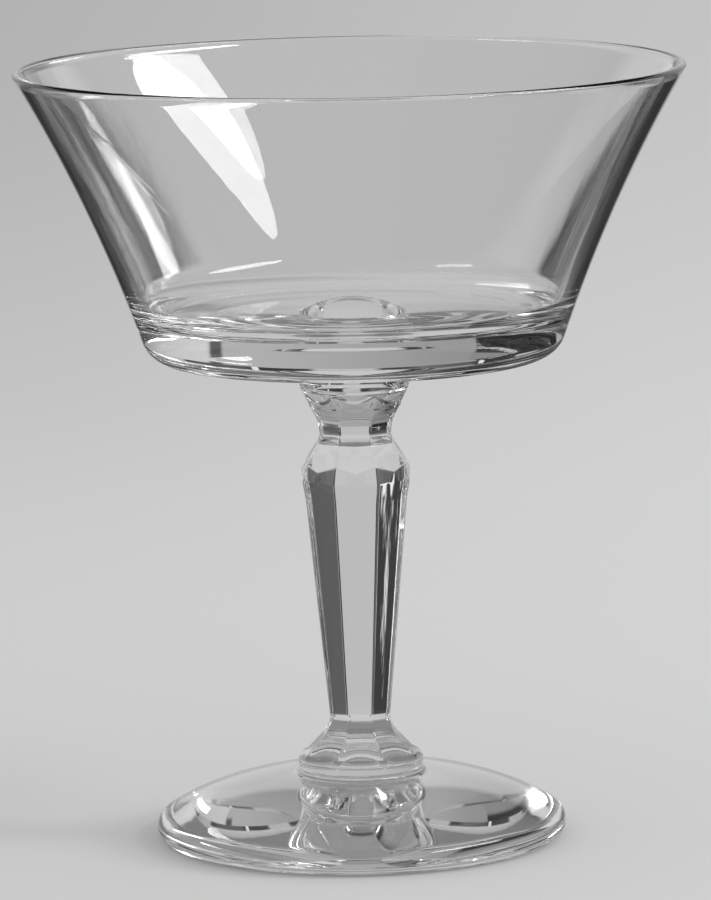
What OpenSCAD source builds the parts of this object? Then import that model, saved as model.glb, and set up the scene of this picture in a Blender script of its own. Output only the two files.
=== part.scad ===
// Stemmed sherbet glass in clear glass, millimetres, +Z up.
// The origin is the centre of the ring that the foot rests on. Flats of the stem face +X, -X, +Y and -Y.

/* [Bowl] */
// height from the bowl's seat on the stem to the lip
bowl_h = 49.8; // [48:0.1:54]
// outer diameter at the lip
rim_d = 104; // [98:0.2:110]
// wall thickness at the lip, which is rounded over
rim_t = 1.3; // [1:0.1:2]
// outer diameter of the wall just above its rounded lower corner
waist_d = 66.4; // [63:0.2:70]
// height of that place above the seat
waist_h = 8.6; // [8.1:0.1:9.6]
// wall thickness at that place, measured level
waist_t = 2.6; // [2.2:0.1:3.2]
// how far the wall bows inward between the waist and the lip
wall_bow = 1.06; // [0.6:0.01:1.8]
// radius of the outer lower corner
corner_r = 5; // [3.5:0.1:6]
// radius of the inner corner between floor and wall
inner_r = 6; // [5:0.1:8]
// thickness of the glass under the floor, measured at the outer corner
base_t = 7; // [6:0.1:8]
// diameter of the plug under the base, where it leaves the underside
boss_d = 17.6; // [17.6:0.1:20]
// height of the outer corner's underside above the seat
boss_h = 4.3; // [3.5:0.1:5]
// how far the underside drops from the outer corner to the plug
base_sag = 0.7; // [0.3:0.1:1]
// diameter of the low button in the middle of the floor
button_d = 16.6; // [15:0.2:18]
// height of the button
button_h = 2.3; // [1.6:0.1:2.8]
// radius between the button and the floor
button_r = 0.8; // [0.4:0.1:1.2]

/* [Stem] */
// height from the foot's seat to the bowl's seat
stem_h = 60.2; // [56:0.1:66]
// across flats at the head, under the bowl
head_af = 16.4; // [14.5:0.1:17]
// height of the flared head below the bowl's seat
head_h = 2.7; // [1.8:0.1:3.2]
// across flats at the neck
neck_af = 11.2; // [10:0.1:12]
// depth of the neck below the bowl's seat
neck_drop = 7; // [6.5:0.1:7.5]
// radius of the neck's hollow
neck_r = 6; // [5:0.1:8]
// across flats at the shoulder
shoulder_af = 16.9; // [15.8:0.1:18]
// depth of the shoulder's upper crease below the bowl's seat
crease_drop = 8.7; // [8.3:0.1:9.1]
// depth of the shoulder facets' lower tips below the bowl's seat
tip_drop = 12.9; // [12.5:0.1:13.5]
// how much higher the shoulder facets end at the stem's edges
tip_rise = 1.1; // [0.4:0.1:1.5]
// height of the shaft's upright band under the tips
belly_drop = 1.6; // [1.2:0.1:2.2]
// how far that band's lower edge lies inside the tips
belly_in = 0.1; // [0.05:0.05:0.2]
// height of the swell where the shaft's taper begins
swell_h = 3; // [2:0.1:4]
// how far the taper's start lies inside the tips
swell = 0.62; // [0.4:0.02:0.8]
// across flats at the bottom of the shaft
shaft_af = 9.3; // [8.4:0.1:10.4]
// height of the shaft's bottom above the foot's seat
shaft_z = 8.2; // [7.6:0.1:9]
// radius between the shaft and its flared bottom
flare_r = 4.5; // [3.5:0.1:5]
// lean of the flared bottom from upright
flare_tilt = 42; // [38:1:46]
// diameter of the collar on the foot
collar_d = 19.5; // [19:0.1:21]
// height of the collar's upright edge with its rounding
collar_h = 1.7; // [1.4:0.1:2]
// height of the collar's sloping top
collar_rise = 0.7; // [0.5:0.1:1]
// width of the collar's ledge outside the flare's edges
collar_ledge = 0.15; // [0.1:0.05:0.3]
// how far the flare goes down into the collar
collar_sink = 0.8; // [0.5:0.1:1.2]
// how far the collar's upper edge is rounded
collar_turn = 50; // [40:1:60]

/* [Foot] */
// height from the resting ring to the stem's seat
foot_h = 11; // [10:0.1:12.5]
// diameter of the foot
foot_d = 64; // [61:0.5:70]
// radius of the foot's lower edge
foot_low_r = 2.2; // [1.8:0.1:2.4]
// radius of the foot's upper edge
foot_top_r = 2.4; // [2:0.1:2.8]
// height of the raised ring under the collar
ring_h = 0.8; // [0.6:0.1:1.1]
// how much wider the ring's foot is than its top
ring_splay = 0.5; // [0.3:0.1:0.8]
// how far the domed top stands above a straight cone
dome_bow = 1.4; // [1:0.1:1.6]
// how far the upper edge turns before it meets the dome
edge_turn = 60; // [50:1:66]
// diameter of the hollow under the foot
hollow_d = 56; // [50:0.5:56]
// depth of the hollow in the middle
hollow_h = 4; // [3:0.1:4.6]
// how the hollow's wall bends, from 1 for a cone to 2 for a dish
hollow_bend = 1.5; // [1.3:0.1:2]

/* [Joints] */
// rounding of the glass beside each fused joint
joint_round = 0.3; // [0.2:0.05:0.5]

/* [Quality] */
// steps in each curve of a profile
steps = 18; // [8:1:30]
// steps in each curve of the eight-sided shaft
facet_steps = 10; // [6:1:14]

/* [Hidden] */
clear_tint = [0.86, 0.9, 0.92, 0.5];
$fn = 96;

foot_seat_z = foot_h;
bowl_seat_z = foot_h + stem_h;
glass_h = bowl_seat_z + bowl_h;

sides = 8;
half_turn = 180 / sides;
seat_r = head_af / 2 + joint_round;

// point on a circle
function on_circle(c, r, a) = [c[0] + r * cos(a), c[1] + r * sin(a)];
// points along an arc from one angle to another
function arc(c, r, a0, a1) = [for (i = [0 : steps]) on_circle(c, r, a0 + (a1 - a0) * i / steps)];
// angle of the line from one point to another
function heading(p, q) = atan2(q[1] - p[1], q[0] - p[0]);
// radius of an arc over a chord with a given bow
function bow_radius(p, q, bow) = norm(q - p) * norm(q - p) / (8 * bow) + bow / 2;
// centre of that arc, on the right of the line from p to q
function bow_centre(p, q, bow) =
    let (a = heading(p, q), d = bow_radius(p, q, bow) - bow)
    (p + q) / 2 + d * [sin(a), -cos(a)];

// Bowl profile, heights from the seat on the stem
lip_r = rim_t / 2;
lip_z = bowl_h - lip_r;
floor_z = boss_h + base_t;
waist = [waist_d / 2, waist_h];
lip = [rim_d / 2, lip_z];
waist_in = waist - [waist_t, 0];
lip_in = lip - [rim_t, 0];
// radius and centre of the bowed wall, outside then inside
out_r = bow_radius(waist, lip, wall_bow);
out_c = bow_centre(waist, lip, wall_bow);
in_r = bow_radius(waist_in, lip_in, wall_bow);
in_c = bow_centre(waist_in, lip_in, wall_bow);
// centre of a corner that is level at height z and meets a bowed wall smoothly
function corner_centre(c, wall_r, r, z) =
    [c[0] - sqrt(pow(wall_r + r, 2) - pow(z + r - c[1], 2)), z + r];
low_c = corner_centre(out_c, out_r, corner_r, boss_h);
deep_c = corner_centre(in_c, in_r, inner_r, floor_z);

// side of the plug, an even S from the underside to the seat
plug_top = [boss_d / 2, boss_h - base_sag];
plug_curve = [for (i = [0 : steps]) let (t = i / steps)
    [seat_r + (plug_top[0] - seat_r) * t, plug_top[1] * (1 - cos(180 * t)) / 2]];
// angle of the straight underside, which runs smoothly into the outer corner
sag_turn = heading(plug_top, low_c) - asin(corner_r / norm(low_c - plug_top));
// button on the floor, a shallow cap with a small radius round it
cap_r = (pow(button_d / 2, 2) + pow(button_h, 2)) / (2 * button_h);
cap_c = [0, floor_z + button_h - cap_r];
nook_c = [sqrt(pow(cap_r + button_r, 2) - pow(floor_z + button_r - cap_c[1], 2)), floor_z + button_r];
cap_turn = heading(cap_c, nook_c);
bowl_profile = concat(
    [[0, 0]],
    plug_curve,
    arc(low_c, corner_r, sag_turn - 90, heading(out_c, low_c) - 180),
    arc(out_c, out_r, heading(out_c, low_c), heading(out_c, lip)),
    arc(lip - [lip_r, 0], lip_r, 0, 180),
    arc(in_c, in_r, heading(in_c, lip_in), heading(in_c, deep_c)),
    arc(deep_c, inner_r, heading(in_c, deep_c) - 180, -90),
    arc(nook_c, button_r, -90, cap_turn - 180),
    arc(cap_c, cap_r, cap_turn, 90)
);

// Stem rings, each [height, half across flats], heights from the foot's seat
flare_end_z = collar_h + collar_rise;
flare_low = [shaft_af / 2 + flare_r * (1 - cos(flare_tilt)), shaft_z - flare_r * sin(flare_tilt)];
flare_end_half = flare_low[0] + (flare_low[1] - flare_end_z) * tan(flare_tilt);
neck_z = stem_h - neck_drop;
crease_z = stem_h - crease_drop;
head_z = stem_h - head_h;
tip_z = stem_h - tip_drop;
belly_z = tip_z - belly_drop;
taper_z = belly_z - swell_h;
function neck_half(z) = neck_af / 2 + pow(z - neck_z, 2) / (2 * neck_r);
shoulder_half = shoulder_af / 2;
// the shoulder facets are flat, so their edges end further in than their tips
shoulder_lean = (shoulder_half - neck_half(crease_z)) / (crease_z - tip_z);
edge_half = shoulder_half - shoulder_lean * tip_rise;
flare_rings = [for (i = [0 : facet_steps]) let (a = flare_tilt * (1 - i / facet_steps))
    [shaft_z - flare_r * sin(a), shaft_af / 2 + flare_r * (1 - cos(a))]];
neck_rings = [for (i = [0 : facet_steps]) let (z = crease_z + (head_z - crease_z) * i / facet_steps)
    [z, neck_half(z)]];
low_rings = concat(
    [[flare_end_z - collar_sink, flare_end_half], [flare_end_z, flare_end_half]],
    flare_rings,
    [[taper_z, shoulder_half - swell], [belly_z, shoulder_half - belly_in]]
);
high_rings = concat([[tip_z + tip_rise, edge_half]], neck_rings, [[stem_h, head_af / 2]]);
// one ring's points, on the stem's edges
function ring_points(s) = [for (k = [0 : sides - 1])
    let (a = half_turn * (2 * k + 1), r = s[1] / cos(half_turn))
    [r * cos(a), r * sin(a), s[0]]];
// lower tips of the shoulder facets, in the middle of the flats
tip_points = [for (k = [0 : sides - 1]) let (a = half_turn * (2 * k + 2))
    [shoulder_half * cos(a), shoulder_half * sin(a), tip_z]];
// collar that the shaft stands in, heights from the foot's seat
collar_r = collar_d / 2;
collar_top_r = flare_end_half / cos(half_turn) + collar_ledge;
collar_profile = concat(
    [[0, 0]],
    arc([collar_r - joint_round, joint_round], joint_round, -90, 0),
    arc([collar_r - joint_round, collar_h - joint_round], joint_round, 0, collar_turn),
    [[collar_top_r, flare_end_z], [0, flare_end_z]]
);

// Foot profile, heights from the resting ring
foot_r = foot_d / 2;
hollow_curve = [for (i = [0 : steps]) let (t = i / steps)
    [hollow_d / 2 * t, hollow_h * (1 - pow(t, hollow_bend))]];
ring_low = [collar_r + ring_splay, foot_h - ring_h];
edge_c = [foot_r - foot_top_r, foot_low_r];
dome_low = on_circle(edge_c, foot_top_r, edge_turn);
dome_r = bow_radius(ring_low, dome_low, dome_bow);
dome_c = bow_centre(ring_low, dome_low, dome_bow);
foot_profile = concat(
    hollow_curve,
    arc([foot_r - foot_low_r, foot_low_r], foot_low_r, -90, 0),
    arc(edge_c, foot_top_r, 0, edge_turn),
    arc(dome_c, dome_r, heading(dome_c, dome_low), heading(dome_c, ring_low)),
    arc([collar_r - joint_round, foot_h - joint_round], joint_round, 0, 90),
    [[0, foot_h]]
);

// bowl with its thick base, plug and button
module bowl() {
    color(clear_tint)
        translate([0, 0, bowl_seat_z])
            rotate_extrude() polygon(bowl_profile);
}

// eight-sided shaft from its collar to its head
module shaft() {
    rings = concat(low_rings, high_rings);
    belly = len(low_rings) - 1;
    top = len(rings) - 1;
    first_tip = len(rings) * sides;
    points = concat([for (s = rings) each ring_points(s)], tip_points);
    // corner k of ring i
    function at(i, k) = i * sides + k % sides;
    function tip(k) = first_tip + k;
    panels = [for (i = [0 : top - 1], k = [0 : sides - 1]) if (i != belly && i != belly + 1)
        [at(i, k), at(i + 1, k), at(i + 1, k + 1), at(i, k + 1)]];
    under_tips = [for (k = [0 : sides - 1])
        each [[at(belly, k), tip(k), at(belly, k + 1)],
              [at(belly, k), at(belly + 1, k), tip(k)],
              [at(belly, k + 1), tip(k), at(belly + 1, k + 1)]]];
    shoulders = [for (k = [0 : sides - 1])
        [at(belly + 1, k), at(belly + 2, k), at(belly + 2, k + 1), at(belly + 1, k + 1), tip(k)]];
    caps = [[for (k = [0 : sides - 1]) at(0, k)], [for (k = [0 : sides - 1]) at(top, sides - 1 - k)]];
    polyhedron(points, concat(panels, under_tips, shoulders, caps));
}

// stem with its round collar
module stem() {
    color(clear_tint)
        translate([0, 0, foot_seat_z])
            union() {
                shaft();
                rotate_extrude() polygon(collar_profile);
            }
}

// domed foot, hollow underneath, with the ring that carries the collar
module foot() {
    color(clear_tint)
        rotate_extrude() polygon(foot_profile);
}

bowl();
stem();
foot();
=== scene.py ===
"""Looks of a stemmed sherbet glass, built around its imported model.

A turned bowl, an eight-sided stem and a turned foot stand for the three solids
of the model. All sizes are in metres.
"""

import logging
import math
from dataclasses import dataclass
from enum import Enum

import bmesh
import bpy
from mathutils import Matrix, Vector


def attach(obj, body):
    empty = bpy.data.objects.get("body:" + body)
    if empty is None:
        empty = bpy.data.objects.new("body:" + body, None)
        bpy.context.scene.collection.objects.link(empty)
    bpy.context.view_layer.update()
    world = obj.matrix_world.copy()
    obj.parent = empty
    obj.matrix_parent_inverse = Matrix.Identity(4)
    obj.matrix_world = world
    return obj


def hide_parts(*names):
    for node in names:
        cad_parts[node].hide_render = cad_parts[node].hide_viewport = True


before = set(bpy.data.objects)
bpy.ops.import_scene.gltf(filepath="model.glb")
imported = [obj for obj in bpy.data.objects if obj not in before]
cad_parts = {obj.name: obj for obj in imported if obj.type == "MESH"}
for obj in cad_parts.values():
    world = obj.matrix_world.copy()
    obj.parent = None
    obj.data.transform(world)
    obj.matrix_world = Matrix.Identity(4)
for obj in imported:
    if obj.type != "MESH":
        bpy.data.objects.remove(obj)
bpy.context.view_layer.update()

MM = 0.001
LEVEL_SLACK = 2e-6
LOG = logging.getLogger("sherbet_glass")

Point = tuple[float, float]
Step = tuple[float, float]
Triple = tuple[float, float, float]
Socket = bpy.types.NodeSocket
Tree = bpy.types.NodeTree
Node = bpy.types.Node
Piece = bpy.types.Object
Material = bpy.types.Material


class Facing(Enum):
    """Which way a fused face looks."""

    UP = 1
    DOWN = -1


class Forming(Enum):
    """How a piece of glass was shaped, which sets how its surface waves."""

    BLOWN = (1.0, 1.0, 0.35)
    PRESSED = (1.0, 1.0, 0.08)
    SPUN = (1.0, 1.0, 2.2)


# Drawing of outlines


def heading(start: Point, end: Point) -> float:
    """Gives the angle of the line from start to end, in radians."""
    return math.atan2(end[1] - start[1], end[0] - start[0])


def arc(centre: Point, radius: float, start: float, end: float, steps: int) -> list[Point]:
    """Draws an arc as a row of points.

    Args:
        centre: Middle of the arc, as radius from the axis and height.
        radius: Radius of the arc.
        start: First angle, in radians.
        end: Last angle, in radians.
        steps: Number of straight steps.

    Returns:
        The points, both ends included.
    """
    points = []
    for step in range(steps + 1):
        angle = start + (end - start) * step / steps
        points.append((centre[0] + radius * math.cos(angle), centre[1] + radius * math.sin(angle)))
    return points


def bow_circle(start: Point, end: Point, bow: float) -> tuple[Point, float]:
    """Finds the circle of a shallow arc that bows away from its chord.

    Args:
        start: First end of the chord.
        end: Last end of the chord.
        bow: Greatest distance of the arc from the chord.

    Returns:
        The centre, which lies to the right of the chord, and the radius.
    """
    chord = math.dist(start, end)
    radius = chord * chord / (8 * bow) + bow / 2
    angle = heading(start, end)
    away = radius - bow
    centre = (
        (start[0] + end[0]) / 2 + away * math.sin(angle),
        (start[1] + end[1]) / 2 - away * math.cos(angle),
    )
    return centre, radius


# Work at the bench


def clear_bench() -> None:
    """Leaves edit mode and deselects everything."""
    if bpy.context.object is not None and bpy.context.object.mode != "OBJECT":
        bpy.ops.object.mode_set(mode="OBJECT")
    bpy.ops.object.select_all(action="DESELECT")


def face_out() -> None:
    """Turns all faces outwards, with the piece in edit mode."""
    bpy.ops.mesh.select_all(action="SELECT")
    bpy.ops.mesh.normals_make_consistent(inside=False)


def turn_profile(name: str, profile: list[Point], steps: int) -> Piece:
    """Draws a profile point by point and spins it into a closed solid.

    Args:
        name: Name of the new piece.
        profile: Radius and height of each point, from axis to axis.
        steps: Number of steps round the axis.

    Returns:
        The new piece, at the origin.
    """
    clear_bench()
    first = Vector((profile[0][0], 0.0, profile[0][1]))
    bpy.ops.mesh.primitive_plane_add(size=MM, location=(0.0, 0.0, 0.0))
    piece = bpy.context.object
    piece.name = piece.data.name = name
    bpy.ops.object.mode_set(mode="EDIT")
    bpy.ops.mesh.select_mode(type="VERT")
    bpy.ops.mesh.select_all(action="SELECT")
    bpy.ops.mesh.merge(type="CENTER")
    bpy.ops.transform.translate(value=first)
    for (r0, z0), (r1, z1) in zip(profile, profile[1:]):
        bpy.ops.mesh.extrude_vertices_move(TRANSFORM_OT_translate={"value": (r1 - r0, 0.0, z1 - z0)})
    bpy.ops.mesh.select_all(action="SELECT")
    bpy.ops.mesh.spin(
        steps=steps, angle=math.tau, center=(0.0, 0.0, 0.0), axis=(0.0, 0.0, 1.0), use_auto_merge=False
    )
    bpy.ops.mesh.select_all(action="SELECT")
    bpy.ops.mesh.remove_doubles(threshold=1e-6)
    face_out()
    bpy.ops.object.mode_set(mode="OBJECT")
    bpy.ops.object.shade_smooth()
    return piece


def pick_faces(piece: Piece, height: float, facing: Facing) -> int:
    """Selects the flat faces at one height, with the piece in edit mode.

    Args:
        piece: Piece in edit mode.
        height: Height of the faces.
        facing: Which way they look.

    Returns:
        The number of faces selected.
    """
    mesh = bmesh.from_edit_mesh(piece.data)
    bpy.ops.mesh.select_all(action="DESELECT")
    count = 0
    for face in mesh.faces:
        flat = all(abs(vert.co.z - height) < LEVEL_SLACK for vert in face.verts)
        if flat and face.normal.z * facing.value > 0.9:
            face.select_set(True)
            count += 1
    bmesh.update_edit_mesh(piece.data)
    return count


def dress_piece(piece: Piece, glass: Material, seam: Material, joints: dict[Facing, float]) -> None:
    """Puts glass on a piece and the seam finish on its fused faces.

    Args:
        piece: Piece to dress.
        glass: Material of the piece.
        seam: Material of the faces where two pieces are fused.
        joints: Height of the fused face for each way it looks.
    """
    clear_bench()
    piece.select_set(True)
    bpy.context.view_layer.objects.active = piece
    piece.data.materials.clear()
    piece.data.materials.append(glass)
    piece.data.materials.append(seam)
    bpy.ops.object.mode_set(mode="EDIT")
    bpy.ops.mesh.select_mode(type="FACE")
    for facing, height in joints.items():
        picked = pick_faces(piece, height, facing)
        piece.active_material_index = 1
        bpy.ops.object.material_slot_assign()
        LOG.info("%s: %d fused faces at %.1f mm", piece.name, picked, height / MM)
    bpy.ops.object.mode_set(mode="OBJECT")


# Finishes


class Nodes:
    """A node tree with short ways to add and link nodes."""

    def __init__(self, tree: Tree) -> None:
        """Keeps the tree that nodes are added to."""
        self.tree = tree

    def add(self, kind: str, **settings: object) -> Node:
        """Adds a node.

        Args:
            kind: Type name of the node.
            settings: Values of the node's own properties.

        Returns:
            The new node.
        """
        node = self.tree.nodes.new(kind)
        for key, value in settings.items():
            setattr(node, key, value)
        return node

    def effect(self, group: Tree, values: dict[str, object]) -> Node:
        """Adds a shared effect, with a value for each of its inputs."""
        node = self.add("ShaderNodeGroup", node_tree=group)
        for label, value in values.items():
            node.inputs[label].default_value = value
        return node

    def link(self, source: Socket, target: Socket) -> None:
        """Links an output to an input."""
        self.tree.links.new(source, target)

    def feed(self, value: object, target: Socket) -> None:
        """Links a socket to an input, or sets the input to a plain value."""
        if isinstance(value, Socket):
            self.link(value, target)
        else:
            target.default_value = value

    def place(self, kind: str = "Object") -> Socket:
        """Gives the place on a piece, or with Generated the direction in the world."""
        return self.add("ShaderNodeTexCoord").outputs[kind]

    def maths(self, operation: str, *values: object) -> Socket:
        """Adds a Math node.

        Args:
            operation: Name of the operation.
            values: Numbers or sockets, in order.

        Returns:
            The result socket.
        """
        node = self.add("ShaderNodeMath", operation=operation)
        for value, socket in zip(values, node.inputs):
            self.feed(value, socket)
        return node.outputs[0]

    def apart(self, value: Socket, middle: float) -> Socket:
        """Gives how far a value lies from a middle."""
        return self.maths("ABSOLUTE", self.maths("SUBTRACT", value, middle))

    def ease(self, value: Socket, step: tuple[object, object]) -> Socket:
        """Turns a value into a soft step.

        Args:
            value: Socket to read.
            step: Numbers or sockets: the value that gives 0 and the value that gives 1.

        Returns:
            The result socket.
        """
        node = self.add("ShaderNodeMapRange", interpolation_type="SMOOTHSTEP")
        self.link(value, node.inputs["Value"])
        self.feed(step[0], node.inputs["From Min"])
        self.feed(step[1], node.inputs["From Max"])
        return node.outputs["Result"]

    def between(self, value: Socket, rise: Step, fall: Step) -> Socket:
        """Gives 1 where a value lies between a soft step up and a soft step down."""
        return self.maths("MULTIPLY", self.ease(value, rise), self.ease(value, fall))

    def noise(self, place: Socket, scale: object, detail: float = 2.0, distortion: float = 0.0) -> Socket:
        """Adds soft noise.

        Args:
            place: Place or direction to read it at.
            scale: Number or socket.
            detail: Number of finer layers.
            distortion: How far it is stirred.

        Returns:
            The result socket.
        """
        node = self.add("ShaderNodeTexNoise")
        self.link(place, node.inputs["Vector"])
        self.feed(scale, node.inputs["Scale"])
        node.inputs["Detail"].default_value = detail
        node.inputs["Distortion"].default_value = distortion
        return node.outputs["Fac"]

    def blend(self, factor: object, first: object, second: object) -> Socket:
        """Mixes two colours.

        Args:
            factor: Socket or number, 0 for first and 1 for second.
            first: Colour or socket.
            second: Colour or socket.

        Returns:
            The mixed colour.
        """
        node = self.add("ShaderNodeMix", data_type="RGBA", clamp_factor=True)
        for value, index in ((factor, 0), (first, 6), (second, 7)):
            self.feed(value, node.inputs[index])
        return node.outputs[2]

    def mix(self, factor: Socket, first: Node, second: Node) -> Socket:
        """Mixes two shaders, where a factor of 0 gives the first and 1 the second."""
        node = self.add("ShaderNodeMixShader")
        self.link(factor, node.inputs["Fac"])
        self.link(first.outputs["BSDF"], node.inputs[1])
        self.link(second.outputs["BSDF"], node.inputs[2])
        return node.outputs["Shader"]


def grey(level: float) -> tuple[float, float, float, float]:
    """Gives a neutral colour of one level."""
    return (level, level, level, 1.0)


def start_material(name: str) -> tuple[Material, Nodes, Socket]:
    """Starts a material that has only its output.

    Args:
        name: Name of the material.

    Returns:
        The material, its nodes and the socket that takes its shader.
    """
    material = bpy.data.materials.new(name)
    material.use_nodes = True
    nodes = Nodes(material.node_tree)
    nodes.tree.nodes.clear()
    return material, nodes, nodes.add("ShaderNodeOutputMaterial").inputs["Surface"]


def start_group(name: str, inputs: dict[str, object], outputs: tuple[str, ...]) -> tuple[Nodes, Node, Node]:
    """Starts a shared effect.

    Args:
        name: Name of the effect.
        inputs: First value of each input, a number or three for a vector.
        outputs: Names of the outputs, which are numbers.

    Returns:
        The effect's nodes, its input node and its output node.
    """
    group = bpy.data.node_groups.new(name, "ShaderNodeTree")
    for label, value in inputs.items():
        kind = "NodeSocketVector" if isinstance(value, tuple) else "NodeSocketFloat"
        group.interface.new_socket(label, in_out="INPUT", socket_type=kind).default_value = value
    for label in outputs:
        group.interface.new_socket(label, in_out="OUTPUT", socket_type="NodeSocketFloat")
    nodes = Nodes(group)
    return nodes, nodes.add("NodeGroupInput"), nodes.add("NodeGroupOutput")


def ripple_group() -> Tree:
    """Builds the effect of slow waves left in glass that was shaped hot.

    Returns:
        The group, with Scale, Stretch and Fine inputs and a Height output.
    """
    inputs = {"Scale": 90.0, "Stretch": (1.0, 1.0, 1.0), "Fine": 0.1}
    nodes, given, put = start_group("glass_ripples", inputs, ("Height",))
    stretched = nodes.add("ShaderNodeVectorMath", operation="MULTIPLY")
    nodes.link(nodes.place(), stretched.inputs[0])
    nodes.link(given.outputs["Stretch"], stretched.inputs[1])
    broad = nodes.noise(stretched.outputs[0], given.outputs["Scale"], detail=1.0, distortion=0.4)
    close = nodes.maths("MULTIPLY", given.outputs["Scale"], 4.7)
    small = nodes.noise(stretched.outputs[0], close)
    fine = nodes.maths("MULTIPLY", small, given.outputs["Fine"])
    nodes.link(nodes.maths("ADD", broad, fine), put.inputs["Height"])
    return nodes.tree


def handling_group() -> Tree:
    """Builds the effect of faint wiping streaks and finger marks.

    Returns:
        The group, with Amount input and Marks and Streaks outputs.
    """
    nodes, given, put = start_group("handling_marks", {"Amount": 0.5}, ("Marks", "Streaks"))
    place = nodes.place()
    cloud = nodes.noise(place, 38.0, detail=4.0)
    long = nodes.add("ShaderNodeMapping")
    long.inputs["Rotation"].default_value = (0.35, 0.2, 0.0)
    long.inputs["Scale"].default_value = (1.0, 1.0, 0.06)
    nodes.link(place, long.inputs["Vector"])
    wiped = nodes.noise(long.outputs["Vector"], 900.0, detail=3.0)
    for label, pattern, step in (("Marks", cloud, (0.52, 0.78)), ("Streaks", wiped, (0.5, 0.8))):
        shown = nodes.maths("MULTIPLY", nodes.ease(pattern, step), given.outputs["Amount"])
        nodes.link(shown, put.inputs[label])
    return nodes.tree


def wear_group() -> Tree:
    """Builds the effect of fine scratches where glass rubs on a table or a spoon.

    Returns:
        The group, with From, To and Amount inputs and a Scratches output.
    """
    inputs = {"From": 0.0, "To": 0.002, "Amount": 0.5}
    nodes, given, put = start_group("rubbed_band", inputs, ("Scratches",))
    place = nodes.place()
    parts = nodes.add("ShaderNodeSeparateXYZ")
    nodes.link(place, parts.inputs["Vector"])
    band = nodes.ease(parts.outputs["Z"], (given.outputs["To"], given.outputs["From"]))
    cells = nodes.add("ShaderNodeTexVoronoi", feature="DISTANCE_TO_EDGE")
    cells.inputs["Scale"].default_value = 420.0
    nodes.link(place, cells.inputs["Vector"])
    line = nodes.maths("SUBTRACT", 1.0, nodes.ease(cells.outputs["Distance"], (0.0, 0.06)))
    patch = nodes.noise(place, 160.0)
    some = nodes.maths("MULTIPLY", line, nodes.ease(patch, (0.45, 0.65)))
    shown = nodes.maths("MULTIPLY", some, band)
    nodes.link(nodes.maths("MULTIPLY", shown, given.outputs["Amount"]), put.inputs["Scratches"])
    return nodes.tree


@dataclass(frozen=True)
class Effects:
    """Surface effects that the glass finishes share."""

    ripples: Tree
    handling: Tree
    wear: Tree

    @classmethod
    def build(cls) -> "Effects":
        """Builds each effect once."""
        return cls(ripple_group(), handling_group(), wear_group())


@dataclass(frozen=True)
class ClearGlass:
    """Clear soda glass with faint waves, finger marks and rubbed places."""

    name: str
    forming: Forming
    wave_scale: float
    wave_depth: float
    fine: float = 0.1
    clean_level: float = 0.985
    marked_level: float = 0.95
    clean_roughness: float = 0.0
    marked_roughness: float = 0.05
    marks: float = 0.4
    worn_from: float = 0.0
    worn_to: float = 1.5 * MM
    worn: float = 0.6
    shade_level: float = 0.82
    ior: float = 1.52

    def make(self, effects: Effects) -> Material:
        """Makes the material, which casts a paler shadow than a solid thing does.

        Args:
            effects: Shared surface effects.

        Returns:
            The material.
        """
        material, nodes, surface = start_material(self.name)
        glass = nodes.add("ShaderNodeBsdfPrincipled")
        glass.inputs["Metallic"].default_value = 0.0
        glass.inputs["Transmission Weight"].default_value = 1.0
        glass.inputs["IOR"].default_value = self.ior
        waved = {"Scale": self.wave_scale, "Stretch": self.forming.value, "Fine": self.fine}
        waves = nodes.effect(effects.ripples, waved)
        touched = nodes.effect(effects.handling, {"Amount": self.marks})
        worn = {"From": self.worn_from, "To": self.worn_to, "Amount": self.worn}
        rubbed = nodes.effect(effects.wear, worn)
        dull = nodes.maths("MULTIPLY", touched.outputs["Marks"], touched.outputs["Streaks"])
        dull = nodes.maths("MAXIMUM", dull, rubbed.outputs["Scratches"])
        tint = nodes.blend(dull, grey(self.clean_level), grey(self.marked_level))
        nodes.link(tint, glass.inputs["Base Color"])
        rough = nodes.maths("MULTIPLY_ADD", dull, self.marked_roughness, self.clean_roughness)
        nodes.link(rough, glass.inputs["Roughness"])
        bump = nodes.add("ShaderNodeBump")
        bump.inputs["Strength"].default_value = 1.0
        bump.inputs["Distance"].default_value = self.wave_depth
        nodes.link(waves.outputs["Height"], bump.inputs["Height"])
        nodes.link(bump.outputs["Normal"], glass.inputs["Normal"])
        shade = nodes.add("ShaderNodeBsdfTransparent")
        shade.inputs["Color"].default_value = grey(self.shade_level)
        ray = nodes.add("ShaderNodeLightPath")
        nodes.link(nodes.mix(ray.outputs["Is Shadow Ray"], glass, shade), surface)
        return material


@dataclass(frozen=True)
class FusedSeam:
    """The inside face of a hot joint, where no surface is left between two pieces."""

    name: str = "fused_seam"

    def make(self) -> Material:
        """Makes the material, which lets everything through."""
        material, nodes, surface = start_material(self.name)
        nodes.link(nodes.add("ShaderNodeBsdfTransparent").outputs["BSDF"], surface)
        return material


# The glass


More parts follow.
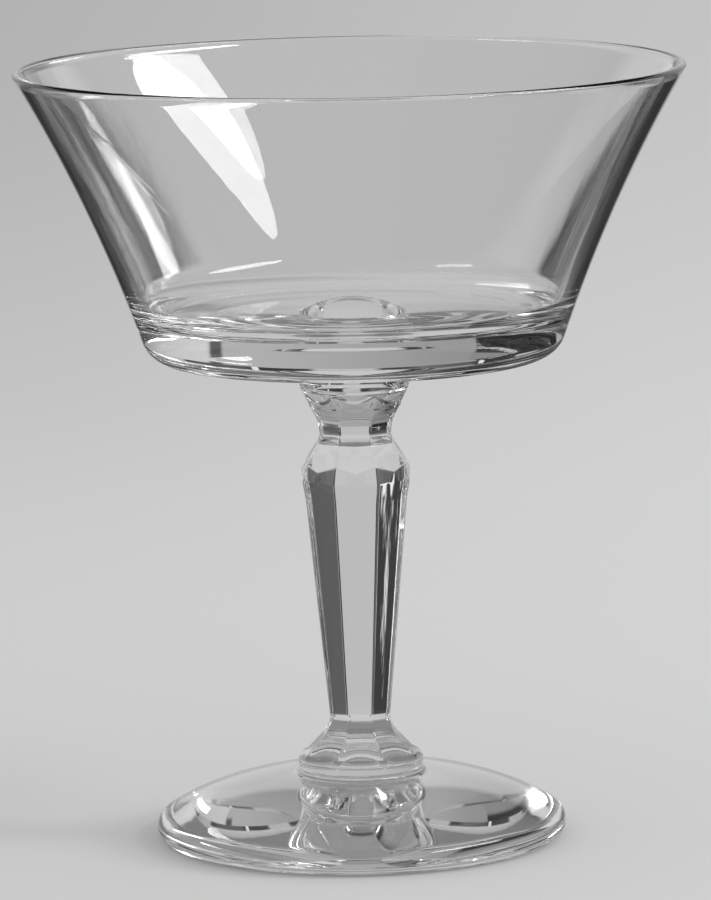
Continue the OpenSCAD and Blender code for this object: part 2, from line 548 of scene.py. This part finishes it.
@dataclass
class Bowl:
    """Wide flared bowl with a thin wall, a round lip and a thick base."""

    seat: float = 71.2 * MM
    height: float = 49.8 * MM
    rim_d: float = 104.0 * MM
    rim_t: float = 1.3 * MM
    waist_d: float = 66.4 * MM
    waist_h: float = 8.6 * MM
    waist_t: float = 2.6 * MM
    wall_bow: float = 1.06 * MM
    corner_r: float = 5.0 * MM
    inner_r: float = 6.0 * MM
    base_t: float = 7.0 * MM
    boss_d: float = 17.6 * MM
    boss_h: float = 4.3 * MM
    base_sag: float = 0.7 * MM
    button_d: float = 16.6 * MM
    button_h: float = 2.3 * MM
    button_r: float = 0.8 * MM
    seat_r: float = 8.5 * MM
    worn_low: float = 0.1 * MM
    worn_high: float = 1.5 * MM
    turns: int = 192
    boss_steps: int = 18
    corner_steps: int = 18
    wall_steps: int = 40
    lip_steps: int = 14
    inner_steps: int = 22
    nook_steps: int = 8
    cap_steps: int = 24

    def floor(self) -> float:
        """Gives the height of the floor above the seat."""
        return self.boss_h + self.base_t

    def profile(self) -> list[Point]:
        """Draws the section from the middle of the seat round to the middle of the floor.

        Returns:
            Radius and height of each point.
        """
        lip = (self.rim_d / 2, self.height - self.rim_t / 2)
        waist = (self.waist_d / 2, self.waist_h)
        lip_in = (lip[0] - self.rim_t, lip[1])
        waist_in = (waist[0] - self.waist_t, waist[1])
        out_c, out_r = bow_circle(waist, lip, self.wall_bow)
        in_c, in_r = bow_circle(waist_in, lip_in, self.wall_bow)
        low_c = self.corner(out_c, out_r, self.corner_r, self.boss_h)
        deep_c = self.corner(in_c, in_r, self.inner_r, self.floor())
        low_a, deep_a = heading(out_c, low_c), heading(in_c, deep_c)
        plug = (self.boss_d / 2, self.boss_h - self.base_sag)
        points = self.boss(plug)
        slope = heading(plug, low_c) - math.asin(self.corner_r / math.dist(plug, low_c))
        points += arc(low_c, self.corner_r, slope - math.pi / 2, low_a - math.pi, self.corner_steps)
        points += arc(out_c, out_r, low_a, heading(out_c, lip), self.wall_steps)[1:]
        middle = (lip[0] - self.rim_t / 2, lip[1])
        points += arc(middle, self.rim_t / 2, 0.0, math.pi, self.lip_steps)[1:]
        points += arc(in_c, in_r, heading(in_c, lip_in), deep_a, self.wall_steps)[1:]
        points += arc(deep_c, self.inner_r, deep_a - math.pi, -math.pi / 2, self.inner_steps)[1:]
        points += self.button()
        return [(radius, height + self.seat) for radius, height in points]

    def boss(self, plug: Point) -> list[Point]:
        """Draws the boss that stands on the stem.

        Args:
            plug: Where the boss meets the underside.

        Returns:
            Points from the middle of the seat to the underside.
        """
        points = [(0.0, 0.0)]
        for step in range(self.boss_steps + 1):
            part = step / self.boss_steps
            radius = self.seat_r + (plug[0] - self.seat_r) * part
            points.append((radius, plug[1] * (1 - math.cos(math.pi * part)) / 2))
        return points

    def button(self) -> list[Point]:
        """Draws the low button in the middle of the floor.

        Returns:
            Points from the floor to the top of the button, on the axis.
        """
        half, nook, floor = self.button_d / 2, self.button_r, self.floor()
        cap_r = (half * half + self.button_h**2) / (2 * self.button_h)
        cap_c = (0.0, floor + self.button_h - cap_r)
        rise = floor + nook - cap_c[1]
        nook_c = (math.sqrt((cap_r + nook) ** 2 - rise * rise), floor + nook)
        turn = heading(cap_c, nook_c)
        points = arc(nook_c, nook, -math.pi / 2, turn - math.pi, self.nook_steps)
        return points + arc(cap_c, cap_r, turn, math.pi / 2, self.cap_steps)[1:]

    @staticmethod
    def corner(wall_c: Point, wall_r: float, radius: float, height: float) -> Point:
        """Finds the centre of a corner that runs smoothly into the wall and a flat.

        Args:
            wall_c: Centre of the wall's arc.
            wall_r: Radius of the wall's arc.
            radius: Radius of the corner.
            height: Height of the flat.

        Returns:
            The centre of the corner.
        """
        rise = height + radius
        reach = math.sqrt((wall_r + radius) ** 2 - (rise - wall_c[1]) ** 2)
        return (wall_c[0] - reach, rise)

    def build(self) -> Piece:
        """Turns the bowl."""
        return turn_profile("glass_bowl", self.profile(), self.turns)

    def dress(self, piece: Piece, effects: Effects, seam: Material) -> None:
        """Gives the bowl its blown glass, rubbed on the floor by spoons.

        Args:
            piece: The bowl.
            effects: Shared surface effects.
            seam: Finish of fused faces.
        """
        floor = self.seat + self.floor()
        glass = ClearGlass(
            "blown_bowl_glass",
            Forming.BLOWN,
            wave_scale=70.0,
            wave_depth=0.035 * MM,
            worn_from=floor + self.worn_low,
            worn_to=floor + self.worn_high,
        )
        dress_piece(piece, glass.make(effects), seam, {Facing.DOWN: self.seat})


@dataclass
class Stem:
    """Eight-sided stem with a flared head, a hollowed neck, a shoulder and a round collar."""

    seat: float = 11.0 * MM
    height: float = 60.2 * MM
    head_r: float = 8.5 * MM
    head_h: float = 2.7 * MM
    head_shares: Triple = (0.35, 0.7, 1.0)
    neck_af: float = 11.2 * MM
    neck_drop: float = 7.0 * MM
    neck_r: float = 6.0 * MM
    shoulder_af: float = 16.9 * MM
    crease_drop: float = 8.7 * MM
    tip_drop: float = 12.9 * MM
    tip_rise: float = 1.1 * MM
    belly_drop: float = 1.6 * MM
    belly_in: float = 0.1 * MM
    swell_h: float = 3.0 * MM
    swell: float = 0.62 * MM
    shaft_af: float = 9.3 * MM
    shaft_z: float = 8.2 * MM
    flare_r: float = 4.5 * MM
    flare_tilt: float = math.radians(42.0)
    collar_d: float = 19.5 * MM
    collar_h: float = 1.7 * MM
    collar_top: float = 2.4 * MM
    collar_ledge: float = 0.15 * MM
    collar_turn: float = math.radians(50.0)
    joint_round: float = 0.3 * MM
    edge_round: float = 0.28 * MM
    edge_angle: float = math.radians(14.0)
    edge_above: float = 0.2 * MM
    edge_past: float = 0.1 * MM
    sides: int = 8
    cuts: int = 15
    flare_steps: int = 12
    neck_steps: int = 16
    bend_steps: int = 8

    def to_corner(self) -> float:
        """Gives the width across corners for each unit of width across flats."""
        return 1 / math.cos(math.pi / self.sides)

    def neck_half(self, height: float) -> float:
        """Gives half the width across flats of the hollowed neck at a height."""
        away = height - (self.height - self.neck_drop)
        return self.neck_af / 2 + away * away / (2 * self.neck_r)

    def rings(self) -> list[Point]:
        """Lists the eight-sided rings above the flare's end.

        Returns:
            Height above the seat and half the width across flats of each ring.
        """
        half, flare = self.shaft_af / 2, self.flare_r
        rings = []
        for step in range(self.flare_steps + 1):
            angle = self.flare_tilt * (1 - step / self.flare_steps)
            rings.append((self.shaft_z - flare * math.sin(angle), half + flare * (1 - math.cos(angle))))
        tip_z, crease_z = self.height - self.tip_drop, self.height - self.crease_drop
        belly_z = tip_z - self.belly_drop
        shoulder = self.shoulder_af / 2
        rings.append((belly_z - self.swell_h, shoulder - self.swell))
        rings.append((belly_z, shoulder - self.belly_in))
        rings.append((tip_z + self.tip_rise, self.edge_half()))
        head_z = self.height - self.head_h
        for step in range(self.neck_steps + 1):
            height = crease_z + (head_z - crease_z) * step / self.neck_steps
            rings.append((height, self.neck_half(height)))
        return rings

    def lean(self) -> float:
        """Gives how far the shoulder's flats lean in for each unit of height."""
        crease_z, tip_z = self.height - self.crease_drop, self.height - self.tip_drop
        return (self.shoulder_af / 2 - self.neck_half(crease_z)) / (crease_z - tip_z)

    def edge_half(self) -> float:
        """Gives half the width across flats at the top of the shaft's edges."""
        return self.shoulder_af / 2 - self.lean() * self.tip_rise

    def flare_end(self) -> float:
        """Gives half the width across flats where the flare meets the collar."""
        low_half = self.shaft_af / 2 + self.flare_r * (1 - math.cos(self.flare_tilt))
        low_z = self.shaft_z - self.flare_r * math.sin(self.flare_tilt)
        return low_half + (low_z - self.collar_top) * math.tan(self.flare_tilt)

    def collar_side(self) -> list[Point]:
        """Lists the rounds of the collar from its crown down to its seat.

        Returns:
            Radius and height above the seat of each round.
        """
        inner, bend = self.collar_d / 2 - self.joint_round, self.joint_round
        high = arc((inner, self.collar_h - bend), bend, self.collar_turn, 0.0, self.bend_steps)
        return high + arc((inner, bend), bend, 0.0, -math.pi / 2, self.bend_steps)

    @staticmethod
    def raise_ring(rise: float, scale: float) -> None:
        """Extrudes the selected ring, raises it and scales it about the axis."""
        bpy.ops.mesh.extrude_region_move(TRANSFORM_OT_translate={"value": (0.0, 0.0, rise)})
        bpy.ops.transform.resize(value=(scale, scale, 1.0), center_override=(0.0, 0.0, 0.0))

    @staticmethod
    def round_ring(piece: Piece, part: float, radius: float) -> None:
        """Makes the selected ring rounder, then sets its greatest radius.

        Args:
            piece: Stem in edit mode.
            part: 1 for a true circle.
            radius: Greatest radius that it gets.
        """
        bpy.ops.transform.tosphere(value=part)
        mesh = bmesh.from_edit_mesh(piece.data)
        widest = max(math.hypot(vert.co.x, vert.co.y) for vert in mesh.verts if vert.select)
        scale = radius / widest
        bpy.ops.transform.resize(value=(scale, scale, 1.0), center_override=(0.0, 0.0, 0.0))

    def pick_ring(self, piece: Piece, height: float) -> None:
        """Selects the edges that lie at one height above the seat, with the stem in edit mode."""
        bpy.ops.mesh.select_all(action="DESELECT")
        mesh = bmesh.from_edit_mesh(piece.data)
        for edge in mesh.edges:
            if all(abs(vert.co.z - self.seat - height) < LEVEL_SLACK for vert in edge.verts):
                edge.select_set(True)
        bmesh.update_edit_mesh(piece.data)

    def start_ring(self) -> Piece:
        """Draws the ring where the flare ends, with finely cut sides.

        Returns:
            The new piece, in edit mode.
        """
        clear_bench()
        bpy.ops.mesh.primitive_circle_add(
            vertices=self.sides,
            radius=self.flare_end() * self.to_corner(),
            fill_type="NOTHING",
            location=(0.0, 0.0, self.seat + self.collar_top),
            rotation=(0.0, 0.0, math.pi / self.sides),
        )
        piece = bpy.context.object
        piece.name = piece.data.name = "glass_stem"
        bpy.ops.object.transform_apply(location=True, rotation=True, scale=True)
        bpy.ops.object.mode_set(mode="EDIT")
        bpy.ops.mesh.select_mode(type="EDGE")
        bpy.ops.mesh.select_all(action="SELECT")
        bpy.ops.mesh.subdivide(number_cuts=self.cuts)
        return piece

    def raise_shaft(self, piece: Piece) -> None:
        """Raises the shaft and the neck ring by ring, then rounds the head and closes it.

        Args:
            piece: Stem in edit mode.
        """
        at, wide = self.collar_top, self.flare_end()
        for height, half in self.rings():
            self.raise_ring(height - at, half / wide)
            at, wide = height, half
        corner = wide * self.to_corner()
        for share in self.head_shares:
            height = self.height - self.head_h * (1 - share)
            self.raise_ring(height - at, 1.0)
            self.round_ring(piece, share, corner + (self.head_r - corner) * share)
            at = height
        bpy.ops.mesh.edge_face_add()

    def draw_collar(self, piece: Piece) -> None:
        """Draws the round collar down from the end of the flare and closes it.

        Args:
            piece: Stem in edit mode.
        """
        self.pick_ring(piece, self.collar_top)
        crown = (self.flare_end() * self.to_corner() + self.collar_ledge, self.collar_top)
        at = self.collar_top
        for radius, height in [crown, *self.collar_side()]:
            self.raise_ring(height - at, 1.0)
            self.round_ring(piece, 1.0, radius)
            at = height
        bpy.ops.mesh.edge_face_add()

    def draw_points(self, piece: Piece) -> None:
        """Draws the shaft's flats up into the shoulder as shallow points, along the shoulder's own planes.

        Args:
            piece: Stem in edit mode.
        """
        mesh = bmesh.from_edit_mesh(piece.data)
        level = self.seat + self.height - self.tip_drop + self.tip_rise
        side = self.edge_half() * math.tan(math.pi / self.sides)
        for vert in mesh.verts:
            if abs(vert.co.z - level) > LEVEL_SLACK:
                continue
            turn = round(math.atan2(vert.co.y, vert.co.x) / (math.tau / self.sides)) * math.tau / self.sides
            out = Vector((math.cos(turn), math.sin(turn), 0.0))
            along = Vector((-out.y, out.x, 0.0)).dot(vert.co)
            fall = self.tip_rise * max(0.0, 1.0 - abs(along) / side)
            vert.co += out * (fall * self.lean()) - Vector((0.0, 0.0, fall))
        bmesh.update_edit_mesh(piece.data)

    def soften(self, piece: Piece) -> None:
        """Rounds the edges between flats as a flame leaves them.

        Args:
            piece: Stem in edit mode.
        """
        bpy.ops.mesh.select_mode(type="EDGE")
        bpy.ops.mesh.select_all(action="DESELECT")
        mesh = bmesh.from_edit_mesh(piece.data)
        low = self.seat + self.collar_top + self.edge_above
        high = self.seat + self.height - self.head_h + self.edge_past
        for edge in mesh.edges:
            middle = (edge.verts[0].co.z + edge.verts[1].co.z) / 2
            if low < middle < high and edge.is_manifold and edge.calc_face_angle(0.0) > self.edge_angle:
                edge.select_set(True)
        bmesh.update_edit_mesh(piece.data)
        bpy.ops.mesh.bevel(offset=self.edge_round, segments=3, profile=0.5, clamp_overlap=True)

    def build(self) -> Piece:
        """Raises the stem from the end of its flare, then draws the collar down.

        Returns:
            The stem, at the origin.
        """
        piece = self.start_ring()
        self.raise_shaft(piece)
        self.draw_collar(piece)
        self.draw_points(piece)
        face_out()
        self.soften(piece)
        face_out()
        bpy.ops.object.mode_set(mode="OBJECT")
        bpy.ops.object.shade_smooth()
        steady = piece.modifiers.new("steady_flats", "WEIGHTED_NORMAL")
        steady.mode = "FACE_AREA"
        steady.keep_sharp = False
        bpy.ops.object.modifier_apply(modifier=steady.name)
        return piece

    def dress(self, piece: Piece, effects: Effects, seam: Material) -> None:
        """Gives the stem its pressed glass.

        Args:
            piece: The stem.
            effects: Shared surface effects.
            seam: Finish of fused faces.
        """
        glass = ClearGlass(
            "pressed_stem_glass",
            Forming.PRESSED,
            wave_scale=300.0,
            wave_depth=0.035 * MM,
            marks=0.3,
            worn=0.0,
        )
        joints = {Facing.UP: self.seat + self.height, Facing.DOWN: self.seat}
        dress_piece(piece, glass.make(effects), seam, joints)


@dataclass
class Foot:
    """Round foot with a domed top, a rounded edge, a low ring under the collar and a hollow underside."""

    height: float = 11.0 * MM
    diameter: float = 64.0 * MM
    low_r: float = 2.2 * MM
    top_r: float = 2.4 * MM
    ring_d: float = 19.5 * MM
    ring_h: float = 0.8 * MM
    ring_splay: float = 0.5 * MM
    dome_bow: float = 1.4 * MM
    edge_turn: float = math.radians(60.0)
    joint_round: float = 0.3 * MM
    hollow_h: float = 4.0 * MM
    hollow_d: float = 56.0 * MM
    hollow_bend: float = 1.5
    turns: int = 192
    hollow_steps: int = 36
    low_steps: int = 12
    top_steps: int = 10
    dome_steps: int = 36
    joint_steps: int = 8

    def profile(self) -> list[Point]:
        """Draws the section from the middle of the underside to the middle of the ring's top.

        Returns:
            Radius and height of each point.
        """
        edge = self.diameter / 2
        points = []
        for step in range(self.hollow_steps + 1):
            part = step / self.hollow_steps
            points.append((self.hollow_d / 2 * part, self.hollow_h * (1 - part**self.hollow_bend)))
        low_c, top_c = (edge - self.low_r, self.low_r), (edge - self.top_r, self.low_r)
        points += arc(low_c, self.low_r, -math.pi / 2, 0.0, self.low_steps)
        points += arc(top_c, self.top_r, 0.0, self.edge_turn, self.top_steps)[1:]
        ring_low = (self.ring_d / 2 + self.ring_splay, self.height - self.ring_h)
        dome_c, dome_r = bow_circle(points[-1], ring_low, -self.dome_bow)
        first, last = heading(dome_c, points[-1]), heading(dome_c, ring_low)
        points += arc(dome_c, abs(dome_r), first, last, self.dome_steps)[1:]
        joint_c = (self.ring_d / 2 - self.joint_round, self.height - self.joint_round)
        points += arc(joint_c, self.joint_round, 0.0, math.pi / 2, self.joint_steps)
        points.append((0.0, self.height))
        return points

    def build(self) -> Piece:
        """Turns the foot."""
        return turn_profile("glass_foot", self.profile(), self.turns)

    def dress(self, piece: Piece, effects: Effects, seam: Material) -> None:
        """Gives the foot its spun glass, rubbed underneath by the table.

        Args:
            piece: The foot.
            effects: Shared surface effects.
            seam: Finish of fused faces.
        """
        glass = ClearGlass("spun_foot_glass", Forming.SPUN, wave_scale=90.0, wave_depth=0.012 * MM)
        dress_piece(piece, glass.make(effects), seam, {Facing.UP: self.height})


# The studio


@dataclass(frozen=True)
class LowScreens:
    """Pale leaning screens below eye level, with dark gaps between them and a bright slit in each gap."""

    count: int = 8
    turn: float = 0.1756
    lean: float = 0.802
    spread: float = 0.687
    upright_above: float = -0.1745
    edge: Step = (0.69, 0.79)
    pale: float = 0.53
    dark: float = 0.03
    dim: float = 0.1
    dim_at: float = 0.42
    dim_fade: Step = (0.2, 0.1)
    slit: float = 0.9
    slit_at: float = 0.615
    slit_fade: Step = (0.022, 0.01)
    slit_foot: Step = (-0.14, -0.11)
    clutter: float = 0.15
    clutter_scale: float = 6.0
    clutter_stir: float = 1.2
    clutter_stretch: Triple = (1.0, 1.0, 2.2)
    clutter_fade: Step = (0.5, 0.7)

    def draw(self, nodes: Nodes, turn: Socket, height: Socket) -> Socket:
        """Draws what is seen in a direction.

        Args:
            nodes: World nodes.
            turn: Direction round the glass, in radians.
            height: Height of the direction, from -1 to 1.

        Returns:
            The colour seen.
        """
        low = nodes.maths("MINIMUM", height, self.upright_above)
        lean = nodes.maths("MULTIPLY_ADD", low, self.lean, self.turn)
        along = nodes.maths("FRACT", nodes.maths("MULTIPLY_ADD", turn, self.count / math.tau, lean))
        wide = nodes.maths("MULTIPLY_ADD", low, -self.spread, self.upright_above * self.spread)
        away = nodes.maths("MULTIPLY_ADD", nodes.apart(along, 0.5), 2.0, wide)
        dim = nodes.ease(nodes.apart(along, self.dim_at), self.dim_fade)
        gap = nodes.blend(dim, grey(self.dark), grey(self.dim))
        slit = nodes.ease(nodes.apart(along, self.slit_at), self.slit_fade)
        slit = nodes.maths("MULTIPLY", slit, nodes.ease(height, self.slit_foot))
        gap = nodes.blend(slit, gap, grey(self.slit))
        room = nodes.add("ShaderNodeMapping")
        room.inputs["Scale"].default_value = self.clutter_stretch
        nodes.link(nodes.place("Generated"), room.inputs["Vector"])
        clutter = nodes.noise(room.outputs["Vector"], self.clutter_scale, distortion=self.clutter_stir)
        soft = nodes.maths("MULTIPLY", nodes.ease(clutter, self.clutter_fade), self.clutter)
        gap = nodes.blend(soft, gap, grey(self.pale))
        return nodes.blend(nodes.ease(away, self.edge), gap, grey(self.pale))


@dataclass(frozen=True)
class HighScreens:
    """Two screens above eye level, each with a dark gap at its left and a post and a pane at its right."""

    count: int = 2
    turn: float = 0.8611
    left: float = 0.312
    right: float = 0.468
    shade: Step = (0.22, 0.51)
    post: float = 0.0975
    post_left: Step = (0.508, 0.516)
    post_right: Step = (0.536, 0.528)
    bright: float = 0.663
    bright_from: Step = (0.53, 0.54)
    pane: float = 8.0
    pane_left: Step = (0.615, 0.63)
    pane_right: Step = (0.755, 0.74)
    pane_foot: Step = (0.15, 0.17)
    pane_head: Step = (0.285, 0.265)
    gap: float = 0.009
    gap_above: float = 0.273
    gap_edge: Step = (0.222, 0.228)
    lower_part: Step = (0.25, 0.15)

    def draw(self, nodes: Nodes, turn: Socket, height: Socket) -> Socket:
        """Draws what is seen in a direction.

        Args:
            nodes: World nodes.
            turn: Direction round the glass, in radians.
            height: Height of the direction, from -1 to 1.

        Returns:
            The colour seen.
        """
        along = nodes.maths("FRACT", nodes.maths("MULTIPLY_ADD", turn, -self.count / math.tau, self.turn))
        lower = nodes.ease(height, self.lower_part)
        screen = nodes.blend(nodes.ease(along, self.shade), grey(self.left), grey(self.right))
        post = nodes.maths("MULTIPLY", nodes.between(along, self.post_left, self.post_right), lower)
        screen = nodes.blend(post, screen, grey(self.post))
        screen = nodes.blend(nodes.ease(along, self.bright_from), screen, grey(self.bright))
        across = nodes.between(along, self.pane_left, self.pane_right)
        upright = nodes.between(height, self.pane_foot, self.pane_head)
        screen = nodes.blend(nodes.maths("MULTIPLY", across, upright), screen, grey(self.pane))
        gap = nodes.blend(lower, grey(self.gap_above), grey(self.gap))
        return nodes.blend(nodes.ease(along, self.gap_edge), gap, screen)


@dataclass(frozen=True)
class Room:
    """Even fill light, with a plain backdrop for the camera and screens for what the glass shows."""

    low: LowScreens = LowScreens()
    high: HighScreens = HighScreens()
    low_top: Step = (0.05, 0.08)
    high_top: Step = (0.37, 0.42)
    dark: float = 0.03
    upper: float = 0.28
    upper_left: Step = (-0.38, -0.28)
    top: float = 0.05
    top_from: Step = (0.9, 0.94)
    fill: float = 0.5
    gloss: float = 0.08
    gloss_low: float = 0.53
    gloss_high: float = 0.85
    gloss_rise: Step = (0.0, 0.1)
    gloss_foot: Step = (-0.22, -0.17)
    gloss_head: Step = (0.45, 0.36)
    far: Step = (0.4452, 0.5512)
    near: Step = (0.583, 0.6572)
    side: Step = (-0.07, 0.07)
    nearness: Step = (-0.08, -0.17)

    def seen(self, nodes: Nodes, way: Node) -> Socket:
        """Draws what is seen through the glass.

        Args:
            nodes: World nodes.
            way: Node that gives the parts of the direction.

        Returns:
            The colour seen.
        """
        turn = nodes.maths("ARCTAN2", way.outputs["Y"], way.outputs["X"])
        height = way.outputs["Z"]
        left = nodes.ease(way.outputs["X"], self.upper_left)
        upper = nodes.blend(left, grey(self.dark), grey(self.upper))
        upper = nodes.blend(nodes.ease(height, self.top_from), upper, grey(self.top))
        upper = nodes.blend(nodes.ease(height, self.high_top), self.high.draw(nodes, turn, height), upper)
        return nodes.blend(nodes.ease(height, self.low_top), self.low.draw(nodes, turn, height), upper)

    def mirrored(self, nodes: Nodes, height: Socket) -> Socket:
        """Draws the pale band that the outside of the glass mirrors, in a dark room.

        Args:
            nodes: World nodes.
            height: Height of the direction, from -1 to 1.

        Returns:
            The colour mirrored.
        """
        band = nodes.between(height, self.gloss_foot, self.gloss_head)
        pale = nodes.blend(nodes.ease(height, self.gloss_rise), grey(self.gloss_low), grey(self.gloss_high))
        return nodes.blend(band, grey(self.gloss), pale)

    def backdrop(self, nodes: Nodes, way: Node) -> Socket:
        """Draws the plain backdrop, paler at the right and towards the camera.

        Args:
            nodes: World nodes.
            way: Node that gives the parts of the direction.

        Returns:
            The colour of the backdrop.
        """
        side = nodes.ease(way.outputs["X"], self.side)
        far, near = (nodes.blend(side, grey(left), grey(right)) for left, right in (self.far, self.near))
        return nodes.blend(nodes.ease(way.outputs["Z"], self.nearness), far, near)

    def build(self) -> None:
        """Builds the world."""
        world = bpy.data.worlds.new("pale_room")
        bpy.context.scene.world = world
        world.use_nodes = True
        nodes = Nodes(world.node_tree)
        nodes.tree.nodes.clear()
        out = nodes.add("ShaderNodeOutputWorld")
        light = nodes.add("ShaderNodeBackground")
        way = nodes.add("ShaderNodeSeparateXYZ")
        nodes.link(nodes.place("Generated"), way.inputs["Vector"])
        ray = nodes.add("ShaderNodeLightPath")
        mirrored = self.mirrored(nodes, way.outputs["Z"])
        shown = nodes.blend(ray.outputs["Is Glossy Ray"], grey(self.fill), mirrored)
        shown = nodes.blend(ray.outputs["Is Transmission Ray"], shown, self.seen(nodes, way))
        shown = nodes.blend(ray.outputs["Is Camera Ray"], shown, self.backdrop(nodes, way))
        nodes.link(shown, light.inputs["Color"])
        nodes.link(light.outputs["Background"], out.inputs["Surface"])


@dataclass(frozen=True)
class Table:
    """Pale paper on a table, which fades into the surroundings, sooner in what the glass shows."""

    radius: float = 0.5
    drop: float = 0.15 * MM
    level: float = 0.69
    mirrored_reach: float = 0.12
    through_reach: float = 0.55
    fade: Step = (0.2, 0.49)
    sides: int = 128

    def paper(self) -> Material:
        """Makes the paper.

        Returns:
            The material.
        """
        material, nodes, surface = start_material("pale_paper")
        paper = nodes.add("ShaderNodeBsdfDiffuse")
        paper.inputs["Color"].default_value = grey(self.level)
        clear = nodes.add("ShaderNodeBsdfTransparent")
        length = nodes.add("ShaderNodeVectorMath", operation="LENGTH")
        nodes.link(nodes.place(), length.inputs[0])
        ray = nodes.add("ShaderNodeLightPath")
        reach = self.mirrored_reach
        for kind, whole in (("Is Transmission Ray", self.through_reach), ("Is Camera Ray", 1.0)):
            more = whole - self.mirrored_reach
            reach = nodes.maths("MULTIPLY_ADD", ray.outputs[kind], more, reach)
        away = nodes.maths("DIVIDE", length.outputs["Value"], reach)
        nodes.link(nodes.mix(nodes.ease(away, self.fade), paper, clear), surface)
        return material

    def build(self) -> Piece:
        """Lays the table just under the foot.

        Returns:
            The table.
        """
        clear_bench()
        bpy.ops.mesh.primitive_circle_add(
            vertices=self.sides, radius=self.radius, fill_type="NGON", location=(0.0, 0.0, -self.drop)
        )
        table = bpy.context.object
        table.name = table.data.name = "pale_table"
        bpy.ops.object.transform_apply(location=True, rotation=True, scale=True)
        table.data.materials.append(self.paper())
        return table


@dataclass(frozen=True)
class Lamp:
    """Soft oval lamp that looks at the glass."""

    name: str
    to: Triple
    size: tuple[float, float]
    power: float
    shows: bool = True
    away: float = 2.6
    aim: Triple = (0.0, 0.0, 0.08)

    def build(self) -> None:
        """Hangs the lamp."""
        data = bpy.data.lights.new(self.name, "AREA")
        data.shape = "ELLIPSE"
        data.size, data.size_y = self.size
        data.energy = self.power
        lamp = bpy.data.objects.new(self.name, data)
        bpy.context.scene.collection.objects.link(lamp)
        way = Vector(self.to).normalized()
        lamp.location = way * self.away + Vector(self.aim)
        lamp.rotation_euler = way.to_track_quat("Z", "Y").to_euler()
        lamp.visible_glossy = lamp.visible_transmission = self.shows


@dataclass(frozen=True)
class PhotoCamera:
    """The camera, where the photograph was taken from."""

    at: Triple = (0.0, -1.038, 0.2185)
    pitch: float = math.radians(8.629)
    roll: float = math.radians(-1.0)
    focal_px: float = 6752.0
    photo_h: int = 900
    sensor_mm: float = 36.0

    def build(self) -> None:
        """Sets the camera up."""
        data = bpy.data.cameras.new("photo_camera")
        data.sensor_width = self.sensor_mm
        data.lens = self.focal_px / self.photo_h * self.sensor_mm
        data.clip_start, data.clip_end = 0.01, 50.0
        camera = bpy.data.objects.new("photo_camera", data)
        bpy.context.scene.collection.objects.link(camera)
        look = Vector((0.0, math.cos(self.pitch), -math.sin(self.pitch)))
        right = Vector((1.0, 0.0, 0.0))
        turned = right * math.cos(self.roll) + right.cross(look) * math.sin(self.roll)
        axes = Matrix((turned, turned.cross(look), -look)).transposed().to_4x4()
        camera.matrix_world = Matrix.Translation(self.at) @ axes
        bpy.context.scene.camera = camera


@dataclass(frozen=True)
class Studio:
    """Pale room and table, a window at the right, a softbox that the glass doesn't show, and the camera."""

    room: Room = Room()
    table: Table = Table()
    window: Lamp = Lamp("window", (0.725, -0.208, 0.656), (2.2, 0.4), 23.0)
    softbox: Lamp = Lamp("softbox", (0.85, -0.12, 0.32), (0.7, 0.7), 44.0, shows=False)
    camera: PhotoCamera = PhotoCamera()
    bounces: int = 24
    glossy_bounces: int = 12

    def build(self) -> None:
        """Sets up the whole studio."""
        scene = bpy.context.scene
        scene.view_settings.view_transform = "Standard"
        scene.cycles.max_bounces = self.bounces
        scene.cycles.transmission_bounces = self.bounces
        scene.cycles.glossy_bounces = self.glossy_bounces
        scene.cycles.transparent_max_bounces = self.bounces
        scene.cycles.caustics_refractive = False
        scene.cycles.use_denoising = True
        self.room.build()
        self.table.build()
        self.window.build()
        self.softbox.build()
        self.camera.build()


def main() -> None:
    """Builds the studio and the three pieces of the glass."""
    logging.basicConfig(level=logging.INFO, format="%(message)s")
    Studio().build()
    effects = Effects.build()
    seam = FusedSeam().make()
    parts = (("bowl", Bowl()), ("stem", Stem()), ("foot", Foot()))
    for node, part in parts:
        piece = part.build()
        part.dress(piece, effects, seam)
        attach(piece, "root")
        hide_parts(node)
        LOG.info("%s: %d faces", piece.name, len(piece.data.polygons))


if __name__ == "__main__":
    main()
